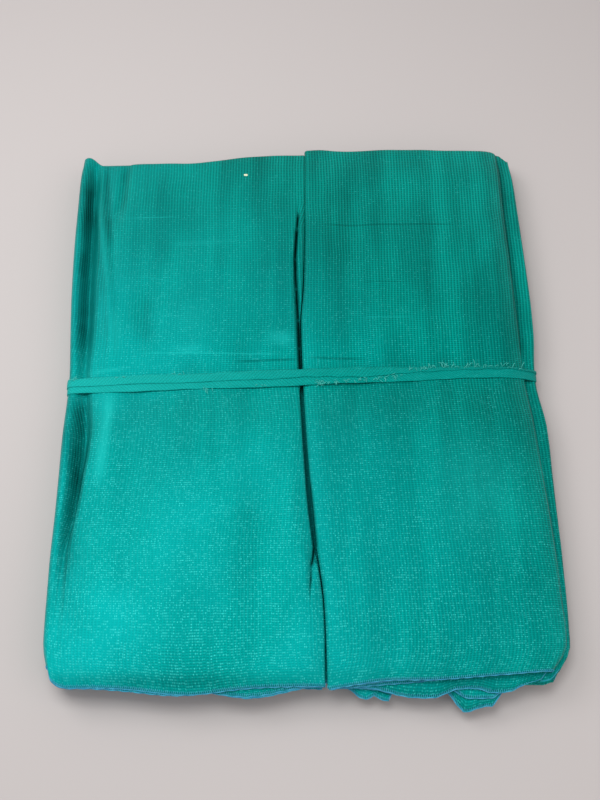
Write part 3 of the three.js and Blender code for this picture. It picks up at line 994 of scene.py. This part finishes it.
# More painted glints and plainer tapes towards the front and the left, where the light's sheen falls
field = calc(tree, "MULTIPLY_ADD", place[1], -2.0, calc(tree, "MULTIPLY_ADD", place[0], -0.9, 0.42))
sparkle = calc(tree, "ADD", field, 0.0, clamp=True)
weave = useGroup(tree, knitNode, Cloth=clothCoordinates(tree), Sparkle=sparkle)
raised = smoothStep(tree, weave.outputs["Height"], 0.1, 0.8)
tone = mixColour(tree, raised, netColours["deep"], netColours["base"])
tone = mixColour(tree, times(tree, weave.outputs["Pillar"], 0.5), tone, netColours["pillar"])
gaps = calc(tree, "SUBTRACT", 1.0, weave.outputs["Tape"])
gaps = times(tree, gaps, calc(tree, "MULTIPLY_ADD", field, 0.7, 0.14, clamp=True))
tone = mixColour(tree, gaps, tone, netColours["deep"])
# Slow changes of colour: long stripes along the net and broad patches at random, and a painted sheen that
# makes the front left bluer and lighter
stripes = smoothStep(tree, noise(tree, coords, 1, 4, (42, 4, 4)), 0.36, 0.66, 0.0, 0.85)
lanes = times(tree, weave.outputs["Lane"], 0.2)
for share in (stripes, lanes):
    tone = mixColour(tree, share, tone, (0.66, 0.69, 0.68), "MULTIPLY")
patches = smoothStep(tree, noise(tree, coords, 9, 4, (2, 1, 1)), 0.36, 0.62, 0.0, 0.9)
tone = mixColour(tree, patches, tone, (0.68, 0.71, 0.71), "MULTIPLY")
toFront = calc(tree, "MULTIPLY_ADD", place[1], -1.3, 0.3)
paintedSheenShare = calc(tree, "MULTIPLY_ADD", place[0], -1.9, toFront, clamp=True)
paintedSheenShare = times(tree, paintedSheenShare, smoothStep(tree, noise(tree, coords, 7, 3), 0.3, 0.65, 0.45, 1.0))
tone = mixColour(tree, paintedSheenShare, tone, netColours["paintedSheen"])
# Painted highlights: the glints mixed into the colour
tone = mixColour(tree, weave.outputs["Glint"], tone, netColours["paintedGlint"])
gloss = netGloss
uneven = calc(tree, "MULTIPLY_ADD", weave.outputs["Pillar"], -0.5, 1.08)
mottled = smoothStep(tree, noise(tree, coords, 55, 3, (1.6, 0.6, 1)), 0.35, 0.65, 0.7, 1.0)
uneven = times(tree, uneven, mottled)
# Painted shade and painted light along the rows; the gloss is lowered under the painted shade
for paintedShading in named(lineNames, paintedFoldLineRows + paintedShadeAndLightRows):
    ends = [((paintedShading[end][0] + shift[0]) * mm, (paintedShading[end][1] + shift[1]) * mm, 0) for end in ("from", "to")]
    line = useGroup(tree, lineNode, Place=coords, From=ends[0], To=ends[1], Wide=paintedShading["wide"] * mm,
                    Fade=paintedShading["fade"] * mm)
    share = times(tree, line.outputs["Mask"], abs(paintedShading["tone"]))
    if paintedShading["wide"] > wideShade:
        share = times(tree, share, uneven)
    tone = mixColour(tree, share, tone, netColours["paintedShading" if paintedShading["tone"] < 0 else "lit"])
    if paintedShading["tone"] < 0:
        gloss = times(tree, gloss, calc(tree, "SUBTRACT", 1.0, share))
# Painted shade: folds that turn away from the eye are darkened towards the shade colour
facing = newNode(tree, "LayerWeight").outputs["Facing"]
tone = mixColour(tree, smoothStep(tree, facing, 0.7, 0.97, 0.0, 0.6), tone, netColours["paintedShading"])
# A small cream fleck near the back of the left half
fleck = {"x": -60.5, "y": 261, "long": 2.4, "wide": 1.7}
squares = []
for k, middle, size in ((0, "x", "long"), (1, "y", "wide")):
    off = calc(tree, "SUBTRACT", place[k], (fleck[middle] + shift[k]) * mm)
    squares.append(calc(tree, "POWER", calc(tree, "DIVIDE", off, fleck[size] * mm), 2.0))
far = calc(tree, "SQRT", calc(tree, "ADD", *squares))
far = calc(tree, "MULTIPLY_ADD", noise(tree, coords, 900), 0.9, far)
spot = times(tree, smoothStep(tree, far, 1.1, 1.4, 1, 0), smoothStep(tree, place[2], 0.030, 0.033))
tone = mixColour(tree, spot, tone, netColours["fleck"])
tree.links.new(tone, shader.inputs["Base Color"])
tree.links.new(smoothStep(tree, weave.outputs["Glint"], 0, 1, 0.4, 0.25), shader.inputs["Roughness"])
gloss = times(tree, gloss, smoothStep(tree, facing, 0.6, 0.9, 1.0, 0.0))
tree.links.new(gloss, shader.inputs["Specular IOR Level"])
shader.inputs["Specular Tint"].default_value = (0.0, 0.85, 0.85, 1)
tree.links.new(addBump(tree, weave.outputs["Height"], 0.5, 0.4), shader.inputs["Normal"])

tieMaterial, tree, shader = newMaterial("tieKnit")
coords = objectCoordinates(tree)
turned = newNode(tree, "Mapping")
turned.inputs["Rotation"].default_value = (0, 0, math.radians(38))
tree.links.new(clothCoordinates(tree), turned.inputs["Vector"])
weave = useGroup(tree, knitNode, Cloth=turned.outputs["Vector"], Wale=2.4 * mm, Weft=1.8 * mm, Sparkle=0.3)
raised = smoothStep(tree, weave.outputs["Height"], 0.0, 0.9)
tone = mixColour(tree, raised, linear(1, 112, 103), linear(5, 134, 124))
streaks = smoothStep(tree, noise(tree, clothCoordinates(tree), 1, 3, (1500, 60, 1)), 0.4, 0.65, 0, 0.35)
tone = mixColour(tree, streaks, tone, linear(14, 156, 148))
# Painted light: the tie is lighter towards its left end
paintedLightShare = calc(tree, "MULTIPLY_ADD", separate(tree, coords)[0], -2.4, 0.08, clamp=True)
tone = mixColour(tree, paintedLightShare, tone, netColours["lit"])
hollows = smoothStep(tree, weave.outputs["Height"], 0.1, 0.7, 0.28, 0.0)
tone = mixColour(tree, hollows, tone, netColours["deep"])
# Painted highlights: the tie's glints mixed into its colour
tone = mixColour(tree, times(tree, weave.outputs["Glint"], 0.6), tone, netColours["paintedGlint"])
tree.links.new(tone, shader.inputs["Base Color"])
shader.inputs["Roughness"].default_value = 0.5
shader.inputs["Specular IOR Level"].default_value = 0.5
shader.inputs["Specular Tint"].default_value = (0.0, 0.85, 0.85, 1)
creased = addBump(tree, noise(tree, clothCoordinates(tree), 1, 3, (900, 25, 1)), 0.8, 0.8)
tree.links.new(addBump(tree, weave.outputs["Height"], 0.5, 0.6, creased), shader.inputs["Normal"])


def threadLook(name, grain, dark, light, roughness):
    # A matt thread whose colour changes along its length
    material, tree, shader = newMaterial(name)
    tone = mixColour(tree, noise(tree, objectCoordinates(tree), grain), dark, light)
    tree.links.new(tone, shader.inputs["Base Color"])
    shader.inputs["Roughness"].default_value = roughness
    shader.inputs["Specular IOR Level"].default_value = 0.2
    return material


hemMaterial = threadLook("hemThread", 240, linear(4, 110, 156), linear(84, 192, 218), 0.6)
frayMaterial = threadLook("frayedTape", 180, linear(6, 150, 140), linear(104, 222, 212), 0.5)

netCloth.data.materials.append(netMaterial)
tieCloth.data.materials.append(tieMaterial)
for piece in hemThreads:
    piece.data.materials.append(hemMaterial)
fraysPiece.data.materials.append(frayMaterial)
print("materials made")

for piece in (netCloth, tieCloth, fraysPiece, *hemThreads):
    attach(piece, "root")
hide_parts("net")
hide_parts("tie_strip")

# Floor, light and camera
floorMesh = bpy.data.meshes.new("floor")
bm = bmesh.new()
bmesh.ops.create_grid(bm, x_segments=1, y_segments=1, size=4)
bm.to_mesh(floorMesh)
bm.free()
floor = addObject("floor", floorMesh)
floorMaterial, tree, shader = newMaterial("paleFloor")
shader.inputs["Base Color"].default_value = (*linear(190, 182, 181), 1)
shader.inputs["Roughness"].default_value = 0.9
shader.inputs["Specular IOR Level"].default_value = 0.1
floorMesh.materials.append(floorMaterial)
floor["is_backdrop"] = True


def areaLight(name, place, aim, size, power, colour):
    light = bpy.data.lights.new(name, "AREA")
    light.size = size
    light.energy = power
    light.color = colour
    lamp = addObject(name, light)
    lamp.location = place
    lamp.rotation_euler = (Vector(aim) - Vector(place)).to_track_quat("-Z", "Y").to_euler()


# Name, place, aim, size, power and colour
areaLight("keyLight", (-0.7, 0.35, 1.05), (-0.02, 0, 0), 0.6, 5.6, (0.96, 1.0, 1.0))
areaLight("sheenLight", (-0.15, 0.0, 1.25), (-0.05, -0.03, 0), 0.5, 7, (0.94, 1.0, 0.99))
areaLight("fillLight", (0.9, -0.5, 1.2), (0.1, 0, 0), 1.2, 4, (1.0, 0.99, 0.98))
world = bpy.data.worlds.new("studio")
bpy.context.scene.world = world
world.use_nodes = True
background = world.node_tree.nodes["Background"].inputs
background["Color"].default_value = (1.0, 0.985, 0.98, 1)
background["Strength"].default_value = 0.55

# The photograph's view: from in front, looking steeply down
view = {"distance": 1.002, "elevation": 66.0, "focalPixels": 1046.0, "imageHeight": 800, "aimHeight": 0.040}
camera = bpy.data.cameras.new("camera")
camera.sensor_width = 36
camera.lens = view["focalPixels"] * camera.sensor_width / view["imageHeight"]
camera.clip_start = 0.05
cameraObject = addObject("camera", camera)
down = math.radians(view["elevation"])
aim = Vector(((shift[0] - 3) * mm, shift[1] * mm, view["aimHeight"]))
cameraObject.location = aim + Vector((0, -math.cos(down), math.sin(down))) * view["distance"]
cameraObject.rotation_euler = (math.pi / 2 - down, 0, 0)
bpy.context.scene.camera = cameraObject
bpy.context.scene.view_settings.view_transform = "Standard"

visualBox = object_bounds()
for name, box in (("cad", cadBox), ("visual", visualBox)):
    print(name, "box", [tuple(round(v, 4) for v in p) for p in box])
